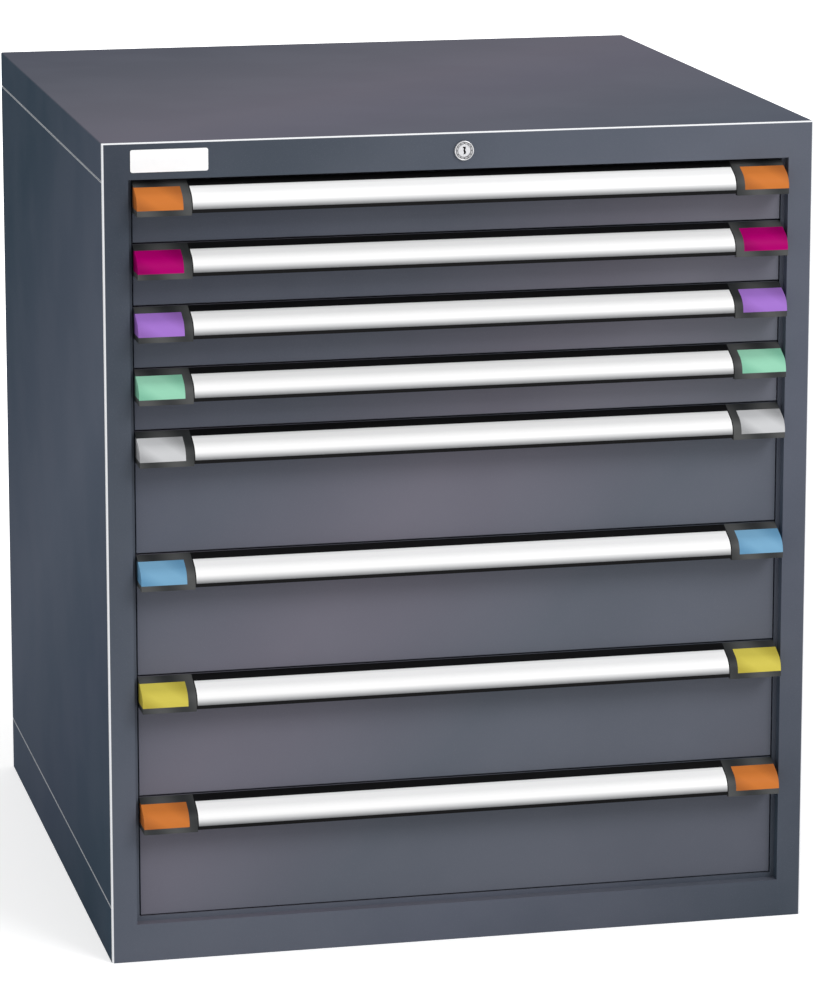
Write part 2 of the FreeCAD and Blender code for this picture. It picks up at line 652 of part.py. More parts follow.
def make_name_plate():
    body = new_body("name_plate_body")
    outline = new_sketch(body, "plate_outline", "XZ", "-plate_sheet")
    left = "(plate_side - half_open)"
    add_rectangle(outline, (left, "lock_height - plate_height / 2"),
                  (f"{left} + plate_width", "lock_height + plate_height / 2"))
    blank = pad(body, outline, "plate_sheet")
    fillet(body, blank, "plate_round", lambda spot: near(spot.y, -value("plate_sheet") / 2))
    keep(body, "name_plate")


def front_top(units):
    return f"({units} * unit_rise - front_gap / 2)"


def make_drawer_front(number, units):
    """A pan of sheet, its face to the front and its edges folded back and then in."""
    body = new_body(f"front_{number}_body")
    outline = new_sketch(body, f"front_{number}_outline", "XZ", "front_setback")
    add_rectangle(outline, ("-front_half", "front_gap / 2"), ("front_half", front_top(units)))
    pad(body, outline, "front_fold")
    doc.recompute()
    hollow = new_sketch(body, f"front_{number}_hollow", "XZ", "front_setback + front_sheet")
    add_rectangle(hollow, ("-front_half + front_sheet", "front_gap / 2 + front_sheet"),
                  ("front_half - front_sheet", f"{front_top(units)} - front_sheet"))
    pocket(body, hollow, "front_fold - 2 * front_sheet")
    mouth = new_sketch(body, f"front_{number}_mouth", "XZ", "front_setback + front_sheet")
    add_rectangle(mouth, ("-front_half + front_return", "front_gap / 2 + front_return"),
                  ("front_half - front_return", f"{front_top(units)} - front_return"))
    pan = pocket(body, mouth, "front_fold")
    face = value("front_setback")
    fillet(body, pan, "front_round", lambda spot: near(spot.y, face))
    keep(body, f"drawer_{number}_front", z=slot_base(number))


def make_tray(number, units):
    """The box of a drawer, of five sheets, with its runner channels and the lug that the locking bar catches."""
    rim = f"{front_top(units)} - tray_top_gap"
    inside = ("tray_half - tray_wall", "fold_end + tray_wall", "tray_end - tray_wall")
    floor = box(f"tray_{number}_floor", (f"-({inside[0]})", inside[1], "tray_floor"),
                (inside[0], inside[2], "tray_floor + tray_wall"))
    ends = []
    for end, start in (("fore_wall", "fold_end"), ("rear_wall", inside[2])):
        ends.append(box(f"tray_{number}_{end}", ("-tray_half", start, "tray_floor"),
                        ("tray_half", f"{start} + tray_wall", rim)))
    side = box(f"tray_{number}_side", (inside[0], inside[1], "tray_floor"), ("tray_half", inside[2], rim))
    channel = make_channel(f"runner_{number}", "(tray_half + rail_sheet)", "channel_edge", "bar_start", "bar_end",
                           "rail_rise")
    lug = box(f"lug_{number}", ("tray_half", "bolt_back + lug_play", "lug_base"),
              ("half_pass - lug_side_play", "bolt_back + lug_play + lug_depth", "lug_base + lug_height"))
    pieces = [floor, *ends, side, mirrored(f"tray_{number}_side_left", side), channel,
              mirrored(f"runner_{number}_left", channel), lug]
    keep(group(f"tray_{number}_set", pieces), f"drawer_{number}_tray", z=slot_base(number))


def bend_start(inset):
    """Where the slope of the grip meets its bend, inset from the outer face."""
    return (f"-(hood_centre + (hood_radius - {inset}) * sin(hood_slope))",
            f"-(hood_turn - (hood_radius - {inset}) * cos(hood_slope))")


def make_hood(name, wall, foot, start, length):
    """The section of the grip, a flange with a sloping hood that bends down in front, drawn out along X."""
    body = new_body(f"{name}_body")
    section = new_sketch(body, f"{name}_section", "YZ", start)
    add_outline(section, [
        (0, 0), bend_start(0), ("-hood_reach", "-hood_turn"), ("-hood_reach", f"-{foot}"),
        (f"-(hood_reach - {wall})", f"-{foot}"), (f"-(hood_reach - {wall})", "-hood_turn"),
        bend_start(wall), ("-hood_sheet", f"-(hood_sheet * tan(hood_slope) + {wall} / cos(hood_slope))"),
        ("-hood_sheet", "-hood_flange"), (0, "-hood_flange")],
        {1: ("hood_radius", True), 5: (f"hood_radius - {wall}", False)})
    pad(body, section, length)
    return body


def make_curved_strip(name, wall, top, bottom, start, length):
    """A strip that lies flush in the outer face of the grip between two heights, drawn out along X."""
    body = new_body(f"{name}_body")
    section = new_sketch(body, f"{name}_section", "YZ", start)
    add_outline(section, [
        (f"-({top} / tan(hood_slope))", f"-{top}"), bend_start(0), ("-hood_reach", "-hood_turn"),
        ("-hood_reach", f"-{bottom}"), (f"-(hood_reach - {wall})", f"-{bottom}"),
        (f"-(hood_reach - {wall})", "-hood_turn"), bend_start(wall),
        (f"-({top} / tan(hood_slope) - {wall} * sin(hood_slope))", f"-({top} + {wall} * cos(hood_slope))")],
        {1: ("hood_radius", True), 5: (f"hood_radius - {wall}", False)})
    pad(body, section, length)
    return body


def make_cheek(name, back, top, foot, sheet):
    """An end face of the grip, from its outer curve back to a distance from the drawer front."""
    body = new_body(f"{name}_body")
    section = new_sketch(body, f"{name}_section", "YZ", f"front_half - {sheet}")
    corners = [(f"-({top} / tan(hood_slope))", f"-{top}")] if value(top) else []
    add_outline(section, corners + [
        (f"-{back}", f"-{top}"), (f"-{back}", f"-{foot}"), ("-hood_reach", f"-{foot}"),
        ("-hood_reach", "-hood_turn"), bend_start(0)], {len(corners) + 3: ("hood_radius", False)})
    pad(body, section, sheet)
    return body


def make_grip(number, units):
    """The grip on a drawer front: a black profile, its label strip, two end caps and their coloured inserts."""
    strip = make_curved_strip(f"strip_{number}", "strip_sheet", "strip_top", "strip_bottom",
                              "-(grip_half - strip_play)", "2 * (grip_half - strip_play)")
    hood = make_hood(f"profile_{number}", "hood_sheet", "hood_height", "-grip_half", "2 * grip_half")
    profile = cut(f"profile_{number}", hood, [strip])
    insert = fuse(f"insert_{number}", [
        make_curved_strip(f"insert_{number}", "insert_sheet", "insert_top", "insert_bottom",
                          "front_half - insert_length", "insert_length"),
        make_cheek(f"insert_{number}_end", "insert_back", "insert_top", "insert_bottom", "insert_sheet")])
    blank = fuse(f"cap_{number}_blank", [
        make_hood(f"cap_{number}", "cap_sheet", "cap_height", "grip_half", "cap_length"),
        make_cheek(f"cap_{number}_end", "0", "0", "cap_height", "cap_sheet")])
    cap = cut(f"cap_{number}", blank, [insert])
    handle = group(f"handle_{number}_set", [profile, cap, mirrored(f"cap_{number}_left", cap)])
    inserts = group(f"insert_{number}_set", [insert, mirrored(f"insert_{number}_left", insert)])
    label = group(f"label_{number}_set", [strip])
    top = f"{slot_base(number)} + {front_top(units)}"
    for item, part in ((handle, "handle"), (inserts, "inserts"), (label, "label_strip")):
        keep(item, f"drawer_{number}_{part}", z=top)
        bind(item, "Placement.Base.y", "face_place + front_setback")


def make_roller(name, side, y):
    """A roller and the headed pin it turns on, on the outer or the inner face of the right carriage bar."""
    outer = side == "outer"
    face = "bar_out" if outer else "bar_in"
    near_end = f"({face} + roller_standoff)" if outer else f"({face} - roller_standoff - roller_width)"
    far = f"({near_end} + roller_width)" if outer else near_end
    blank = cylinder(f"{name}_blank", "x", (near_end, y, "bar_middle"), "roller_dia", "roller_width")
    bore = cylinder(f"{name}_bore", "x", (f"{near_end} - 1", y, "bar_middle"), "pin_dia + 2 * pin_play",
                    "roller_width + 2")
    if outer:
        shank_low, shank_high = face, f"({far} + pin_side_play)"
        head_low = shank_high
    else:
        shank_low, shank_high = f"({far} - pin_side_play)", face
        head_low = f"({shank_low} - pin_head)"
    shank = cylinder(f"{name}_shank", "x", (shank_low, y, "bar_middle"), "pin_dia", f"{shank_high} - {shank_low}")
    head = cylinder(f"{name}_head", "x", (head_low, y, "bar_middle"), "pin_head_dia", "pin_head")
    return cut(name, blank, [bore]), [shank, head]


def make_carriage(number):
    """The middle members that slide between the rails and the drawer: on each side a bar with four rollers."""
    reach = "roller_dia / 2"
    spots = (
        ("outer", f"(rail_start + travel / 2 + {reach} + roller_reserve)"),
        ("outer", f"(bar_end - {reach} - roller_end)"),
        ("inner", f"(bar_start + {reach} + roller_end)"),
        ("inner", f"(bar_end - travel / 2 - {reach} - roller_reserve)"),
    )
    blank = box(f"carriage_{number}_blank", ("bar_in", "bar_start", "bar_middle - bar_height / 2"),
                ("bar_out", "bar_end", "bar_middle + bar_height / 2"))
    rollers, pins = [], []
    for count, (side, y) in enumerate(spots):
        roller, pin = make_roller(f"carriage_{number}_roller_{count}", side, y)
        rollers.append(roller)
        pins += pin
    bar = fuse(f"carriage_{number}_bar", [blank] + pins)
    pieces = [bar, mirrored(f"carriage_{number}_bar_left", bar)]
    for count, roller in enumerate(rollers):
        pieces += [roller, mirrored(f"carriage_{number}_roller_{count}_left", roller)]
    keep(group(f"carriage_{number}_set", pieces), f"drawer_{number}_carriage", z=slot_base(number))


make_front_frame()
make_top_cover()
make_side_walls()
make_back_panel()
make_base_plinth()
make_uprights()
make_cabinet_rails()
make_lock()
make_lock_bar()
make_name_plate()
for drawer, drawer_units in enumerate(DRAWER_UNITS, 1):
    make_drawer_front(drawer, drawer_units)
    make_tray(drawer, drawer_units)
    make_grip(drawer, drawer_units)
    make_carriage(drawer)
doc.recompute()

for item in doc.Objects:
    if {"Invalid", "Error"} & set(item.State):
        raise RuntimeError(f"{item.Name} failed: {item.State}")
for item in nodes:
    if item.Shape.isNull() or not item.Shape.isValid() or not item.Shape.Solids:
        raise RuntimeError(f"{item.Label} has no valid solid")

os.makedirs("parts", exist_ok=True)
for item in nodes:
    item.Shape.exportStep(f"parts/{item.Label}.step")
    print(item.Label, len(item.Shape.Solids), "solids", round(item.Shape.Volume / 1000, 1), "cm3")
print(len(nodes), "nodes")
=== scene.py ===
import json
import math

import bmesh
import bpy
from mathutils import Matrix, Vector


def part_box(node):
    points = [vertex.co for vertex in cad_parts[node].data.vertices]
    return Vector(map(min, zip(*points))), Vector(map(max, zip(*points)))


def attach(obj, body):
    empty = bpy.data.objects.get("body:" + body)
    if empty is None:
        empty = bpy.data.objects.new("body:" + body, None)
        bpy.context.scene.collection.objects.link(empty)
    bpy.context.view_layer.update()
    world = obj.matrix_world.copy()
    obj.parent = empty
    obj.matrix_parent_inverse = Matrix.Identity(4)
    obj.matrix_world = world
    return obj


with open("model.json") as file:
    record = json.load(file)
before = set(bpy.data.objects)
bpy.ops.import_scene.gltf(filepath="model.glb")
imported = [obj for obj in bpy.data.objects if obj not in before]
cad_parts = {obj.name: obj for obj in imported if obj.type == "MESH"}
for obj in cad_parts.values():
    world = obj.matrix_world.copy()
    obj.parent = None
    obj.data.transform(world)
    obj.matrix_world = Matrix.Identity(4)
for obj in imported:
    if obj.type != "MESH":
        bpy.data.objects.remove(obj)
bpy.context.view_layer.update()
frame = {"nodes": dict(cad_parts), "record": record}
nodes = frame["nodes"]

MM = 0.001
FRAME_LOW, FRAME_HIGH = (Vector(corner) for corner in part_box("front_frame"))
FACE = FRAME_LOW.y
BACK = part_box("back_panel")[1][1]
HALF_WIDTH = FRAME_HIGH.x
HEIGHT = FRAME_HIGH.z
# The painted highlight lines at the two seams have their middle just past the plinth's and the top cover's
# edges.
SEAM_OFFSET = 0.6 * MM
SEAMS = (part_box("base_plinth")[1][2] + SEAM_OFFSET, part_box("top_cover")[0][2] - SEAM_OFFSET)
DRAWERS = range(1, 1 + sum(name.endswith("_front") for name in nodes))
LOW_FRONTS_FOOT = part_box("drawer_4_front")[0][2]
SLOTS = {row["node"]: row["material_slot"] for row in frame["record"]["subparts"]}


# Colours and node materials

def paint(red, green, blue):
    """A colour given in display values from 0 to 255, as linear RGBA."""
    def linear(level):
        level /= 255
        return level / 12.92 if level <= 0.04045 else ((level + 0.055) / 1.055) ** 2.4
    return (linear(red), linear(green), linear(blue), 1)


class Shader:
    """A node material with one Principled surface, put together by short calls."""

    def __init__(self, name, roughness, metallic=0.0, specular=0.3):
        self.roughness = roughness
        self.material = bpy.data.materials.new(name)
        self.material.use_nodes = True
        self.tree = self.material.node_tree
        self.tree.nodes.clear()
        self.surface = self.tree.nodes.new("ShaderNodeBsdfPrincipled")
        output = self.tree.nodes.new("ShaderNodeOutputMaterial")
        self.tree.links.new(self.surface.outputs["BSDF"], output.inputs["Surface"])
        self.surface.inputs["Metallic"].default_value = metallic
        self.surface.inputs["Specular IOR Level"].default_value = specular
        self.surface.inputs["Roughness"].default_value = roughness
        self.places = self.tree.nodes.new("ShaderNodeTexCoord").outputs

    def put(self, socket, value):
        """Links a socket to another one, or sets it to a plain value."""
        if isinstance(value, bpy.types.NodeSocket):
            self.tree.links.new(value, socket)
        else:
            socket.default_value = value

    def node(self, kind, values, **settings):
        made = self.tree.nodes.new(kind)
        for key, setting in settings.items():
            setattr(made, key, setting)
        for key, value in values.items():
            self.put(made.inputs[key], value)
        return made

    def math(self, operation, *values, clamp=False):
        made = self.node("ShaderNodeMath", dict(enumerate(values)), operation=operation, use_clamp=clamp)
        return made.outputs[0]

    def spread(self, value, low, high, start=0.0, end=1.0):
        """Maps low..high to start..end, held at both ends, with soft shoulders."""
        ends = {"Value": value, "From Min": low, "From Max": high, "To Min": start, "To Max": end}
        return self.node("ShaderNodeMapRange", ends, interpolation_type="SMOOTHSTEP").outputs["Result"]

    def band(self, value, middle, half, soft):
        """1 within half of the middle, and 0 past a soft edge."""
        distance = self.math("ABSOLUTE", self.math("SUBTRACT", value, middle))
        return self.spread(distance, half, half + soft, 1.0, 0.0)

    def mix(self, factor, one, other):
        """A blend of two colours. The node has sockets for other data too, so the colours' go by number."""
        made = self.node("ShaderNodeMix", {0: factor, 6: one, 7: other}, data_type="RGBA")
        return made.outputs[2]

    def ramp(self, value, stops):
        """A run of colours: stops are (position, colour)."""
        made = self.node("ShaderNodeValToRGB", {"Fac": value})
        points = made.color_ramp.elements
        while len(points) < len(stops):
            points.new(0.5)
        for point, (position, colour) in zip(points, stops):
            point.position = position
            point.color = colour
        return made.outputs["Color"]

    def axes(self, socket):
        return self.node("ShaderNodeSeparateXYZ", {0: socket}).outputs

    def noise(self, scale, detail=2.0, stretch=None):
        """Noise of about scale waves a metre. A stretch below 1 draws it out along that axis."""
        place = self.places["Object"]
        if stretch:
            place = self.node("ShaderNodeMapping", {"Vector": place, "Scale": stretch}).outputs[0]
        made = self.node("ShaderNodeTexNoise", {"Vector": place, "Scale": scale, "Detail": detail})
        return made.outputs["Fac"]

    def fleck(self, tone, colour, share, value, low, high):
        """Lays up to a share of a colour over a tone, as the value runs from low to high."""
        return self.mix(self.spread(value, low, high, 0.0, share), tone, colour)

    def grade(self, value, low, high):
        """Runs from one colour to another over the middle of a noise value."""
        return self.ramp(value, ((0.3, low), (0.7, high)))

    def ripple(self, operation, place, length):
        """A sine or cosine of a place, from 0 to 1, with the length of its wave."""
        wave = self.math(operation, self.math("MULTIPLY", place, 2 * math.pi / length))
        return self.math("MULTIPLY_ADD", wave, 0.5, 0.5)

    def bump(self, height, strength, distance):
        made = self.node("ShaderNodeBump", {"Height": height, "Strength": strength, "Distance": distance})
        self.put(self.surface.inputs["Normal"], made.outputs["Normal"])

    def colour(self, value):
        self.put(self.surface.inputs["Base Color"], value)

    def rough(self, value, swing):
        """Spreads the roughness by a noise value, a swing to both sides."""
        spread = self.math("MULTIPLY_ADD", value, 2 * swing, self.roughness - swing)
        self.put(self.surface.inputs["Roughness"], spread)


def dress(name, material):
    """Gives a CAD node a material in place of the one it came with."""
    for slot in nodes[name].material_slots:
        slot.material = material


# Paint: slate powder coat with painted sheen. Its tone runs slowly along a slant, as the sheen of a satin
# coat does under a wide soft lamp, and the front, the sides and the top each take their own run: painted
# light and shade by facing.
# Each run below is the paint with its painted sheen along that slant, from 0 to 1.

FRAME_PAINT_AND_SHEEN = ((0.0, paint(48, 56, 68)), (0.1, paint(60, 68, 79)), (0.2, paint(68, 75, 86)),
              (0.35, paint(79, 85, 97)), (0.5, paint(86, 91, 103)), (0.6, paint(86, 91, 103)),
              (0.7, paint(82, 87, 100)), (0.85, paint(76, 81, 93)), (1.0, paint(59, 67, 78)))
SIDE_PAINT_AND_SHEEN = ((0.0, paint(63, 76, 89)), (0.25, paint(78, 87, 101)), (0.42, paint(87, 95, 109)),
             (0.5, paint(90, 98, 112)), (0.66, paint(81, 90, 104)), (0.8, paint(75, 84, 99)),
             (1.0, paint(63, 76, 89)))
FRONT_PAINT_AND_SHEEN = ((0.0, paint(65, 73, 84)), (0.16, paint(75, 80, 93)), (0.30, paint(86, 90, 102)),
              (0.44, paint(104, 102, 114)), (0.50, paint(102, 101, 113)), (0.62, paint(88, 93, 104)),
              (0.80, paint(88, 92, 103)), (1.0, paint(79, 82, 93)))
TOP_PAINT_AND_SHEEN = ((0.0, paint(84, 87, 98)), (0.2, paint(92, 94, 104)), (0.36, paint(100, 100, 110)),
            (0.5, paint(105, 103, 114)), (0.6, paint(102, 101, 113)), (0.72, paint(98, 99, 110)),
            (0.92, paint(89, 94, 105)), (1.0, paint(86, 91, 103)))
# Painted highlight along the frame's outer edges.
PAINTED_EDGE_HIGHLIGHT = paint(240, 241, 244)
# Painted highlight lines at the two seams of the walls.
SEAM_HIGHLIGHT = paint(196, 199, 203)
COAT_SHEEN_RATE = 0.25
SIDE_SHEEN_RATE = 0.45
SIDE_SHEEN_LEAN = 0.55
MOTTLE, MOTTLE_SCALE, MOTTLE_SHARE = paint(128, 130, 142), 9.0, 0.06
SPECKLE, SPECKLE_SCALE, SPECKLE_SHARE = paint(150, 152, 162), 1500.0, 0.10
GLOSS_SCALE, GLOSS_SWING = 60.0, 0.06
PEEL_SCALE, PEEL_STRENGTH, PEEL_DEPTH = 900.0, 0.12, 0.15 * MM


def powder_coat(name, front_stops, specular, roughness, lean=(1.0, 1.0)):
    """The coat's shader, and its tone at each point.

    Front, sides and top each have their own painted sheen and shade, and lean weighs the front's sheen across
    and up.
    """
    coat = Shader(name, roughness, specular=specular)
    x, y, z = coat.axes(coat.places["Object"])
    across = coat.math("DIVIDE", x, HALF_WIDTH)
    along = coat.math("DIVIDE", coat.math("SUBTRACT", y, (FACE + BACK) / 2), (BACK - FACE) / 2)
    up = coat.math("DIVIDE", coat.math("SUBTRACT", z, HEIGHT / 2), HEIGHT / 2)
    front_slant = coat.math("SUBTRACT", coat.math("MULTIPLY", across, lean[0]),
                            coat.math("MULTIPLY", up, lean[1]))
    front_sheen = coat.math("MULTIPLY_ADD", front_slant, COAT_SHEEN_RATE, 0.5, clamp=True)
    top_slant = coat.math("SUBTRACT", across, along)
    top_sheen = coat.math("MULTIPLY_ADD", top_slant, COAT_SHEEN_RATE, 0.5, clamp=True)
    side_slant = coat.math("MULTIPLY_ADD", along, SIDE_SHEEN_LEAN, up)
    side_sheen = coat.math("MULTIPLY_ADD", side_slant, -SIDE_SHEEN_RATE, SIDE_SHEEN_RATE, clamp=True)
    # The front, the top and the sides each take their own run of tones: painted light and shade by the way a
    # face turns.
    facing = coat.axes(coat.places["Normal"])
    faces_front = coat.math("POWER", coat.math("ABSOLUTE", facing[1]), 2.0)
    faces_up = coat.math("POWER", coat.math("ABSOLUTE", facing[2]), 2.0)
    tone = coat.mix(faces_front, coat.ramp(side_sheen, SIDE_PAINT_AND_SHEEN), coat.ramp(front_sheen, front_stops))
    tone = coat.mix(faces_up, tone, coat.ramp(top_sheen, TOP_PAINT_AND_SHEEN))
    clouds = coat.noise(MOTTLE_SCALE, detail=4.0)
    tone = coat.fleck(tone, MOTTLE, MOTTLE_SHARE, clouds, low=0.35, high=0.65)
    grains = coat.noise(SPECKLE_SCALE, detail=1.0)
    tone = coat.fleck(tone, SPECKLE, SPECKLE_SHARE, grains, low=0.60, high=0.78)
    coat.rough(coat.noise(GLOSS_SCALE, detail=3.0), GLOSS_SWING)
    coat.bump(coat.noise(PEEL_SCALE), PEEL_STRENGTH, PEEL_DEPTH)
    return coat, tone


# How the frame's painted sheen leans across and up.
FRAME_SHEEN_LEAN = (1.2, 0.9)
# Where the painted highlight along the frame's sides and top edge starts, and where it is full.
HIGHLIGHT_START, HIGHLIGHT_FULL = 2.1 * MM, 1.5 * MM
TOP_HIGHLIGHT_START, TOP_HIGHLIGHT_FULL = 1.5 * MM, 1.0 * MM


def frame_coat():
    """The front frame's coat, with a painted highlight along its two sides and its top edge."""
    coat, tone = powder_coat("frame_coat", FRAME_PAINT_AND_SHEEN, specular=0.2, roughness=0.5, lean=FRAME_SHEEN_LEAN)
    x, _, z = coat.axes(coat.places["Object"])
    side = coat.spread(coat.math("ABSOLUTE", x), HALF_WIDTH - HIGHLIGHT_START, HALF_WIDTH - HIGHLIGHT_FULL)
    top = coat.spread(z, HEIGHT - TOP_HIGHLIGHT_START, HEIGHT - TOP_HIGHLIGHT_FULL)
    coat.colour(coat.mix(coat.math("MAXIMUM", side, top), tone, PAINTED_EDGE_HIGHLIGHT))
    return coat.material


# Half the width of each painted seam highlight, and its soft edge.
SEAM_LINE_HALF, SEAM_SOFT = 0.9 * MM, 0.3 * MM


def shell_coat():
    """The coat of walls, top and plinth, with painted highlight lines at the two seams."""
    coat, tone = powder_coat("shell_coat", FRAME_PAINT_AND_SHEEN, specular=0.0, roughness=0.65)
    z = coat.axes(coat.places["Object"])[2]
    seams = [coat.band(z, seam, SEAM_LINE_HALF, SEAM_SOFT) for seam in SEAMS]
    coat.colour(coat.mix(coat.math("MAXIMUM", *seams), tone, SEAM_HIGHLIGHT))
    return coat.material


# Painted light on the four low fronts, growing towards their right end.
PAINTED_LIGHT_TONE, PAINTED_LIGHT_SHARE = paint(150, 149, 160), 0.2
LIT_START, LIT_FULL = 20 * MM, 140 * MM
LIT_LEAN = -0.8
LIT_FOOT = 2 * MM


def front_coat():
    """The fronts' coat, with painted light towards the right end of the four low fronts."""
    coat, tone = powder_coat("front_coat", FRONT_PAINT_AND_SHEEN, specular=0.2, roughness=0.48)
    x, _, z = coat.axes(coat.places["Object"])
    rise = coat.math("SUBTRACT", z, LOW_FRONTS_FOOT)
    slant = coat.math("MULTIPLY_ADD", rise, LIT_LEAN, x)
    right_end = coat.spread(slant, LIT_START, LIT_FULL, 0.0, PAINTED_LIGHT_SHARE)
    low_fronts = coat.spread(rise, -LIT_FOOT, 0.0)
    coat.colour(coat.mix(coat.math("MULTIPLY", right_end, low_fronts), tone, PAINTED_LIGHT_TONE))
    return coat.material


# Metals

CRYSTAL_SCALE, CRYSTAL_SHARE = 85.0, 0.45
ROLLED_SCALE, ROLLED_STRETCH = 220.0, (1.0, 0.05, 1.0)
ZINC_TONES = ((0.2, paint(168, 172, 176)), (0.8, paint(208, 210, 212)))
TURNED_SCALE, TURNED_STRETCH = 1800.0, (1.0, 0.3, 1.0)
# The noise on the painted shade behind the keyhole.
KEYWAY_SHADE_SCALE = 2500.0
# Each lock metal has the dark and the light tone of its grain, and its roughness.
LOCK_METALS = {
    "lock_satin": (paint(172, 172, 175), paint(202, 202, 204), 0.32),
    "lock_bright": (paint(172, 172, 174), paint(206, 206, 208), 0.26),
    "lock_mid": (paint(140, 140, 142), paint(170, 170, 172), 0.34),
    "lock_dark": (paint(92, 92, 94), paint(120, 120, 122), 0.4),
    "plug_bright": (paint(164, 165, 168), paint(196, 196, 198), 0.3),
}


def zinc_sheet():
    """Galvanised sheet with a faint crystal pattern, rolled along the drawers."""
    zinc = Shader("zinc_sheet", roughness=0.38, metallic=1.0)
    cells = zinc.node("ShaderNodeTexVoronoi", {"Vector": zinc.places["Object"], "Scale": CRYSTAL_SCALE})
    crystal = zinc.axes(cells.outputs["Color"])[0]
    streaks = zinc.noise(ROLLED_SCALE, detail=3.0, stretch=ROLLED_STRETCH)
    rolled = zinc.math("MULTIPLY", streaks, 1 - CRYSTAL_SHARE)
    shade = zinc.math("MULTIPLY_ADD", crystal, CRYSTAL_SHARE, rolled)
    zinc.colour(zinc.ramp(shade, ZINC_TONES))
    zinc.rough(shade, swing=0.08)
    zinc.bump(streaks, strength=0.08, distance=0.2 * MM)
    return zinc.material


def nickel(name):
    """Plated lock metal with a fine turned grain."""
    low, high, roughness = LOCK_METALS[name]
    plate = Shader(name, roughness, metallic=1.0)
    grain = plate.noise(TURNED_SCALE, stretch=TURNED_STRETCH)
    plate.colour(plate.grade(grain, low, high))
    plate.rough(grain, swing=0.06)
    plate.bump(grain, strength=0.06, distance=0.05 * MM)
    return plate.material


# Grips and their inserts, and the name plate

DRAWN_SCALE, DRAWN_STRETCH = 160.0, (0.02, 1.0, 1.0)
CAP_START = 0.9 * MM
# The caps' painted sheen: its wave length, its slant, and its dark and light tones.
SHEEN_LENGTH = 46 * MM
SHEEN_LEAN = 0.5
CAP_SHEEN_TONES = ((0.0, paint(43, 45, 46)), (1.0, paint(76, 77, 77)))
CAP_FLECK, CAP_GRAIN_SCALE = paint(88, 89, 89), 1300.0
# The label strip's tones from foot to top, with painted shade at the foot and at the upper edge.
STRIP_SHADE_TONES = ((0.0, paint(112, 113, 115)), (0.08, paint(148, 149, 151)), (0.2, paint(202, 203, 204)),
               (0.34, paint(242, 242, 242)), (0.46, paint(253, 253, 253)), (0.9, paint(253, 253, 253)),
               (1.0, paint(230, 231, 232)))
STRIP_FLECK = paint(222, 223, 224)
FIBRE_SCALE, FIBRE_STRETCH = 700.0, (0.3, 1.0, 1.0)
INSERT_GRAIN_SCALE = 1100.0
ENAMEL_SCALE = 40.0


def black_profile():
    """Black anodised profile, drawn along its length."""
    black = Shader("black_profile", roughness=0.5, specular=0.08)
    lines = black.noise(DRAWN_SCALE, detail=3.0, stretch=DRAWN_STRETCH)
    black.colour(black.grade(lines, paint(12, 12, 13), paint(19, 19, 20)))
    black.rough(lines, swing=0.08)
    black.bump(lines, strength=0.05, distance=0.1 * MM)
    return black.material


def cap_plastic():
    """Dark grey moulded plastic with a fine grain and a soft slanting painted sheen."""
    cap = Shader("cap_plastic", roughness=0.52, specular=0.2)
    x, _, z = cap.axes(cap.places["Object"])
    slant = cap.math("MULTIPLY_ADD", z, SHEEN_LEAN, x)
    tone = cap.ramp(cap.ripple("SINE", slant, SHEEN_LENGTH), CAP_SHEEN_TONES)
    grain = cap.noise(CAP_GRAIN_SCALE)
    cap.colour(cap.fleck(tone, CAP_FLECK, share=0.25, value=grain, low=0.55, high=0.8))
    cap.rough(grain, swing=0.1)
    cap.bump(grain, strength=0.15, distance=0.1 * MM)
    return cap.material


def label_strip():
    """White card behind a clear cover, with painted shade at its upper edge and towards its foot."""
    strip = Shader("label_strip", roughness=0.24, specular=0.25)
    tone = strip.ramp(strip.axes(strip.places["Generated"])[2], STRIP_SHADE_TONES)
    fibre = strip.noise(FIBRE_SCALE, detail=3.0, stretch=FIBRE_STRETCH)
    strip.colour(strip.fleck(tone, STRIP_FLECK, share=0.05, value=fibre, low=0.3, high=0.8))
    strip.rough(fibre, swing=0.04)
    return strip.material


# Each insert colour as the dark and the light end of its painted sheen.
INSERTS = {
    "orange": ((172, 100, 48), (203, 119, 55)), "magenta": ((142, 0, 88), (170, 0, 105)),
    "violet": ((142, 100, 178), (162, 116, 204)), "mint": ((124, 186, 158), (150, 210, 181)),
    "light_grey": ((158, 159, 161), (202, 203, 205)), "blue": ((98, 146, 180), (120, 168, 200)),
    "yellow": ((178, 164, 66), (208, 194, 84)),
}
REACHES = [abs(corner.co.x) for corner in nodes["drawer_1_inserts"].data.vertices]
INSERT_MIDDLE = (min(REACHES) + max(REACHES)) / 2
INSERT_SLANT = 29 * MM
# The painted sheen has a whole number of waves up to the inserts' middle, so both of a pair are lightest
# there.
WAVES_TO_MIDDLE = 4


def insert_plastic(colour):
    """Coloured moulded insert with a fine grain and a painted sheen, darker at its upper right and lower left
    corners.
    """
    sheen_dark, light = (paint(*shade) for shade in INSERTS[colour])
    plastic = Shader(f"insert_{colour}", roughness=0.45, specular=0.04)
    across = plastic.axes(plastic.places["Object"])[0]
    height = plastic.math("SUBTRACT", plastic.axes(plastic.places["Generated"])[2], 0.5)
    slant = plastic.math("MULTIPLY_ADD", height, INSERT_SLANT, across)
    ripple = plastic.ripple("COSINE", slant, INSERT_MIDDLE / WAVES_TO_MIDDLE)
    tone = plastic.ramp(ripple, ((0.1, sheen_dark), (0.8, light)))
    grain = plastic.noise(INSERT_GRAIN_SCALE)
    plastic.colour(plastic.fleck(tone, light, share=0.3, value=grain, low=0.5, high=0.8))
    plastic.rough(grain, swing=0.08)
    plastic.bump(grain, strength=0.08, distance=0.08 * MM)
    return plastic.material


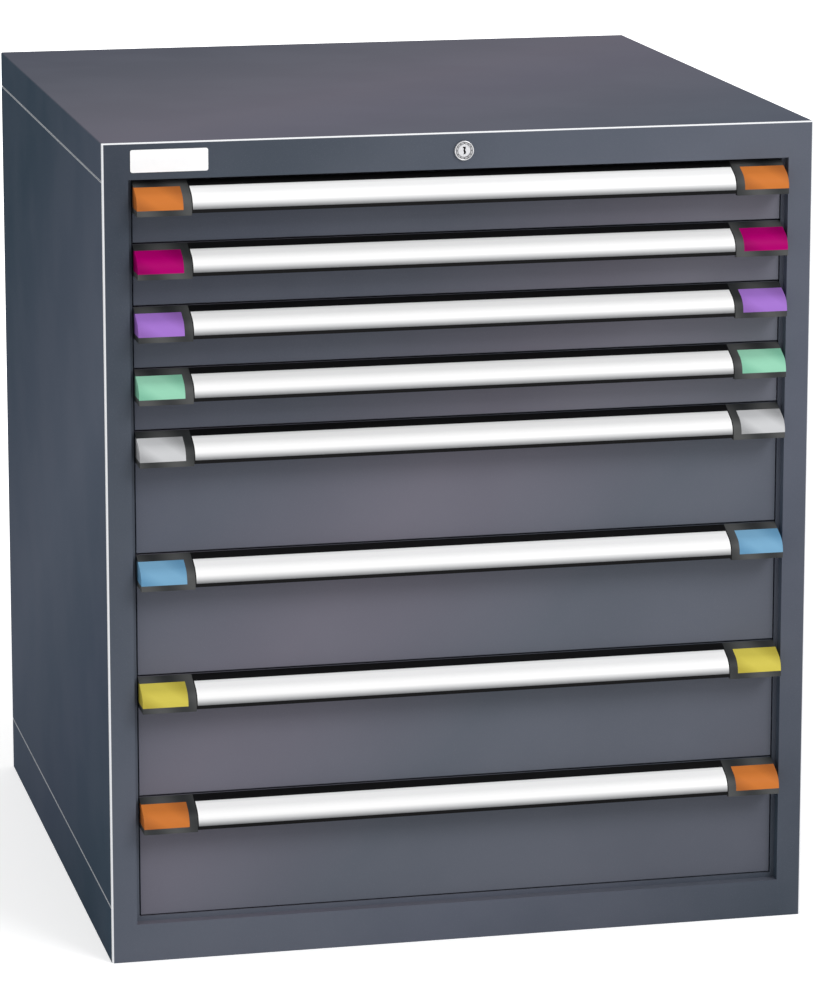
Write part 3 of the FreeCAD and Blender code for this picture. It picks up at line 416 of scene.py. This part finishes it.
def plate_enamel():
    """Bare white enamelled plate."""
    plate = Shader("plate_enamel", roughness=0.3, specular=0.3)
    cloud = plate.noise(ENAMEL_SCALE, detail=3.0)
    plate.colour(plate.grade(cloud, paint(246, 246, 247), paint(254, 254, 254)))
    plate.rough(cloud, swing=0.05)
    return plate.material


# Lock face: a bead and a marked ring on the rim, the front of the plug with its keyhole, and painted shade
# behind the keyhole

LOCK_LOW, LOCK_HIGH = (Vector(corner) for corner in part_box("lock_body"))
LOCK_X = (LOCK_LOW.x + LOCK_HIGH.x) / 2
LOCK_Z = (LOCK_LOW.z + LOCK_HIGH.z) / 2
RIM_CENTRE = Vector((LOCK_X, LOCK_LOW.y, LOCK_Z))
PLUG_CENTRE = Vector((LOCK_X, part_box("lock_plug")[0][1], LOCK_Z))
TURN_STEPS = 96
# Lock sizes are in millimetres. A rise counts forward from the face that carries the piece.
SUNK = -0.1
RING_INNER = 6.15
RING_OUTER = 8.05
RING_EASE = 0.15
RING_SHOULDER = 0.12
RING_RISE = 0.2
BEAD_HALF = 0.7
BEAD_MIDDLE = RING_OUTER + BEAD_HALF
BEAD_RISE = 0.75
BEAD_STEPS = 10
MARK_COUNT = 12
MARK_INNER = 6.4
MARK_OUTER = 7.85
# The foot and the top of a mark: how far forward, half the width, and how far in from both ends.
MARK_LEVELS = ((0.1, 1.4, 0.0), (0.4, 1.25, 0.14))
PLUG_FACE_RADIUS = 5.9
PLUG_FACE_RISE = 0.35
PLUG_EDGE = 0.12
KEYWAY_RISE = 0.03
KEYWAY_SPREAD = 1.02
KEYHOLE = ((-1.5, 3.7), (1.4, 3.7), (1.3, 1.9), (0.6, 0.7), (1.5, -0.6), (1.6, -2.6),
           (0.5, -3.2), (-0.8, -3.7), (-0.3, -1.7), (-1.0, 0.2), (-0.3, 1.7), (-1.1, 2.5))


def new_object(name, mesh_data):
    mesh = bpy.data.meshes.new(name)
    mesh_data.to_mesh(mesh)
    mesh_data.free()
    made = bpy.data.objects.new(name, mesh)
    bpy.context.scene.collection.objects.link(made)
    return made


def around_axis(radius, angle, forward):
    """A point round the lock's axis, in metres from a point of the axis."""
    return Vector((radius * math.cos(angle), -forward, radius * math.sin(angle))) * MM


def lathe(name, profile):
    """A smooth ring turned about the lock's axis. The profile is a closed run of (radius, forward)."""
    data = bmesh.new()
    rings = []
    for step in range(TURN_STEPS):
        angle = 2 * math.pi * step / TURN_STEPS
        spots = [RIM_CENTRE + around_axis(radius, angle, forward) for radius, forward in profile]
        rings.append([data.verts.new(spot) for spot in spots])
    for step, ring in enumerate(rings):
        after = rings[(step + 1) % TURN_STEPS]
        for index in range(len(profile)):
            further = (index + 1) % len(profile)
            data.faces.new((ring[index], ring[further], after[further], after[index]))
    bmesh.ops.recalc_face_normals(data, faces=data.faces)
    made = new_object(name, data)
    for face in made.data.polygons:
        face.use_smooth = True
    return made


def lock_bead():
    """The raised bead round the rim."""
    turns = [math.pi * step / BEAD_STEPS for step in range(BEAD_STEPS + 1)]
    arch = [(BEAD_MIDDLE - BEAD_HALF * math.cos(turn), BEAD_RISE * math.sin(turn)) for turn in turns]
    bead = lathe("lock_bead", [(BEAD_MIDDLE - BEAD_HALF, SUNK)] + arch + [(BEAD_MIDDLE + BEAD_HALF, SUNK)])
    bead.data.materials.append(nickel("lock_bright"))
    return bead


def lock_ring():
    """The flat dark ring inside the bead."""
    inner_edge = [(RING_INNER, SUNK), (RING_INNER, RING_SHOULDER), (RING_INNER + RING_EASE, RING_RISE)]
    outer_edge = [(RING_OUTER - RING_EASE, RING_RISE), (RING_OUTER, RING_SHOULDER), (RING_OUTER, SUNK)]
    ring = lathe("lock_ring", inner_edge + outer_edge)
    ring.data.materials.append(nickel("lock_dark"))
    return ring


def lock_marks():
    """Raised marks round the ring. Each is a low block whose top is smaller than its foot."""
    data = bmesh.new()
    for number in range(MARK_COUNT):
        angle = 2 * math.pi * (number + 0.5) / MARK_COUNT
        side = Vector((-math.sin(angle), 0, math.cos(angle)))
        corners = []
        for height, half, inset in MARK_LEVELS:
            inner, outer = MARK_INNER + inset, MARK_OUTER - inset
            for radius, sign in ((inner, -1), (inner, 1), (outer, 1), (outer, -1)):
                spot = RIM_CENTRE + around_axis(radius, angle, height) + side * sign * half * MM
                corners.append(data.verts.new(spot))
        data.faces.new(corners[4:8])
        for index in range(4):
            further = (index + 1) % 4
            data.faces.new((corners[index], corners[further], corners[4 + further], corners[4 + index]))
    bmesh.ops.recalc_face_normals(data, faces=data.faces)
    marks = new_object("lock_ticks", data)
    marks.data.materials.append(nickel("lock_mid"))
    return marks


def plug_plate(name, outlines, rise):
    """A flat plate on the plug's front, between its outlines of (across, up) and as thick as it rises."""
    data = bmesh.new()
    edges = []
    for outline in outlines:
        corners = [data.verts.new(PLUG_CENTRE + Vector((across, -rise, up)) * MM) for across, up in outline]
        for index, corner in enumerate(corners):
            edges.append(data.edges.new((corner, corners[(index + 1) % len(corners)])))
    bmesh.ops.triangle_fill(data, use_beauty=True, use_dissolve=False, edges=edges)
    grown = bmesh.ops.extrude_face_region(data, geom=data.faces[:])
    for item in grown["geom"]:
        if isinstance(item, bmesh.types.BMVert):
            item.co.y += rise * MM
    bmesh.ops.recalc_face_normals(data, faces=data.faces)
    return new_object(name, data)


def plug_face():
    """The front of the plug: a disc with a rounded edge and a zigzag keyhole through it."""
    turns = [2 * math.pi * step / TURN_STEPS for step in range(TURN_STEPS)]
    rim = [(PLUG_FACE_RADIUS * math.cos(turn), PLUG_FACE_RADIUS * math.sin(turn)) for turn in turns]
    face = plug_plate("lock_plug_face", (rim, KEYHOLE), PLUG_FACE_RISE)
    edge = face.modifiers.new("edge", "BEVEL")
    edge.width = PLUG_EDGE * MM
    edge.segments = 2
    edge.limit_method = "ANGLE"
    face.data.materials.append(nickel("plug_bright"))
    return face


def keyhole_shade_plate():
    """A near-black plate behind the keyhole: painted shade in its depth."""
    outline = [(across * KEYWAY_SPREAD, up * KEYWAY_SPREAD) for across, up in KEYHOLE]
    floor = plug_plate("lock_keyway", (outline,), KEYWAY_RISE)
    dark = Shader("keyway_painted_shade", roughness=0.7, specular=0.05)
    dark.colour(dark.grade(dark.noise(KEYWAY_SHADE_SCALE), paint(4, 4, 4), paint(12, 12, 12)))
    floor.data.materials.append(dark.material)
    return floor


# Everything on the cabinet gets its finish

shell = shell_coat()
for name in ("top_cover", "left_side", "right_side", "back_panel", "base_plinth"):
    dress(name, shell)
dress("front_frame", frame_coat())
dress("name_plate", plate_enamel())
zinc = zinc_sheet()
for name in ("uprights", "cabinet_rails", "lock_bar"):
    dress(name, zinc)
satin = nickel("lock_satin")
dress("lock_body", satin)
dress("lock_plug", satin)
front = front_coat()
black, cap, card = black_profile(), cap_plastic(), label_strip()
inserts = {f"insert_{colour}": insert_plastic(colour) for colour in INSERTS}


def dress_handle(name):
    """Black between the caps and moulded grey on them: the caps start a little past the label strip."""
    handle = nodes[name]
    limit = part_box(name.replace("_handle", "_label_strip"))[1][0] + CAP_START
    dress(name, black)
    handle.data.materials.append(cap)
    for face in handle.data.polygons:
        if abs(face.center.x) > limit:
            face.material_index = len(handle.data.materials) - 1


for number in DRAWERS:
    dress(f"drawer_{number}_front", front)
    dress(f"drawer_{number}_tray", zinc)
    dress(f"drawer_{number}_carriage", zinc)
    dress(f"drawer_{number}_label_strip", card)
    dress(f"drawer_{number}_inserts", inserts[SLOTS[f"drawer_{number}_inserts"]])
    dress_handle(f"drawer_{number}_handle")

for piece in (lock_bead(), lock_ring(), lock_marks()):
    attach(piece, "housing")
for piece in (plug_face(), keyhole_shade_plate()):
    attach(piece, "lock_plug")


# Studio: a pale floor, white to the camera, one lamp high at the right in front, and an even pale room

PHOTO_HEIGHT = 1000
CAMERA_PLACE = (-0.9859, -4.4501, 1.4123)
CAMERA_YAW = math.radians(12.758)
CAMERA_PITCH = math.radians(11.395)
FOCAL_PIXELS = 4498
SHIFT_PIXELS = -120
SENSOR = 36.0
WHITE = (1, 1, 1, 1)
FLOOR_HALF = 30
FLOOR_GREY = (0.8, 0.8, 0.8, 1)
FLOOR_GLOW = {"From Min": 0.6, "From Max": 2.5, "To Min": 0.5, "To Max": 1.0}
ROOM_LIGHT = 0.75
KEY_PLACE = (3.86, -6.25, 5.94)
KEY_TARGET = (0.0, -0.3, 0.4)
KEY_SIZE = 3.6
KEY_POWER = 332


def shown_white(tree):
    """1 where the camera, a reflection or clear plastic looks, and 0 for all other light."""
    path = tree.nodes.new("ShaderNodeLightPath").outputs
    seen = path["Is Camera Ray"]
    for kind in ("Is Glossy Ray", "Is Transmission Ray"):
        either = tree.nodes.new("ShaderNodeMath")
        either.operation = "MAXIMUM"
        tree.links.new(seen, either.inputs[0])
        tree.links.new(path[kind], either.inputs[1])
        seen = either.outputs[0]
    return seen


def build_floor():
    """A pale floor that keeps the shadow near the cabinet and fades to white away from it."""
    ground = Shader("floor", roughness=0.9, specular=0.0)
    ground.colour(FLOOR_GREY)
    away = ground.node("ShaderNodeVectorMath", {0: ground.places["Object"]}, operation="LENGTH")
    glow = ground.node("ShaderNodeMapRange", {"Value": away.outputs["Value"], **FLOOR_GLOW})
    lift = ground.math("MULTIPLY", shown_white(ground.tree), glow.outputs["Result"])
    ground.put(ground.surface.inputs["Emission Color"], WHITE)
    ground.put(ground.surface.inputs["Emission Strength"], lift)
    data = bmesh.new()
    bmesh.ops.create_grid(data, x_segments=1, y_segments=1, size=FLOOR_HALF)
    floor = new_object("floor", data)
    floor.data.materials.append(ground.material)


def build_room():
    """An even pale room that shows as white."""
    world = bpy.data.worlds.new("room")
    bpy.context.scene.world = world
    world.use_nodes = True
    tree = world.node_tree
    back = tree.nodes["Background"]
    back.inputs["Color"].default_value = WHITE
    level = tree.nodes.new("ShaderNodeMapRange")
    level.inputs["To Min"].default_value = ROOM_LIGHT
    level.inputs["To Max"].default_value = 1.0
    tree.links.new(shown_white(tree), level.inputs["Value"])
    tree.links.new(level.outputs[0], back.inputs["Strength"])


def build_lamp():
    """One large soft lamp."""
    lamp = bpy.data.lights.new("key", "AREA")
    lamp.shape = "SQUARE"
    lamp.size = KEY_SIZE
    lamp.energy = KEY_POWER
    made = bpy.data.objects.new("key", lamp)
    bpy.context.scene.collection.objects.link(made)
    made.location = KEY_PLACE
    made.rotation_euler = (Vector(KEY_TARGET) - Vector(KEY_PLACE)).to_track_quat("-Z", "Y").to_euler()


def build_camera():
    """A long lens, pitched down, with its length and shift in pixels of the photo's height."""
    camera = bpy.data.cameras.new("camera")
    camera.sensor_fit = "VERTICAL"
    camera.sensor_height = SENSOR
    camera.lens = FOCAL_PIXELS * SENSOR / PHOTO_HEIGHT
    camera.shift_y = SHIFT_PIXELS / PHOTO_HEIGHT
    made = bpy.data.objects.new("camera", camera)
    bpy.context.scene.collection.objects.link(made)
    made.location = CAMERA_PLACE
    made.rotation_euler = (math.pi / 2 - CAMERA_PITCH, 0, -CAMERA_YAW)
    bpy.context.scene.camera = made


for spare in [item for item in bpy.data.objects if item.type in ("LIGHT", "CAMERA")]:
    bpy.data.objects.remove(spare)
build_floor()
build_room()
build_lamp()
build_camera()
bpy.context.scene.view_settings.view_transform = "Standard"
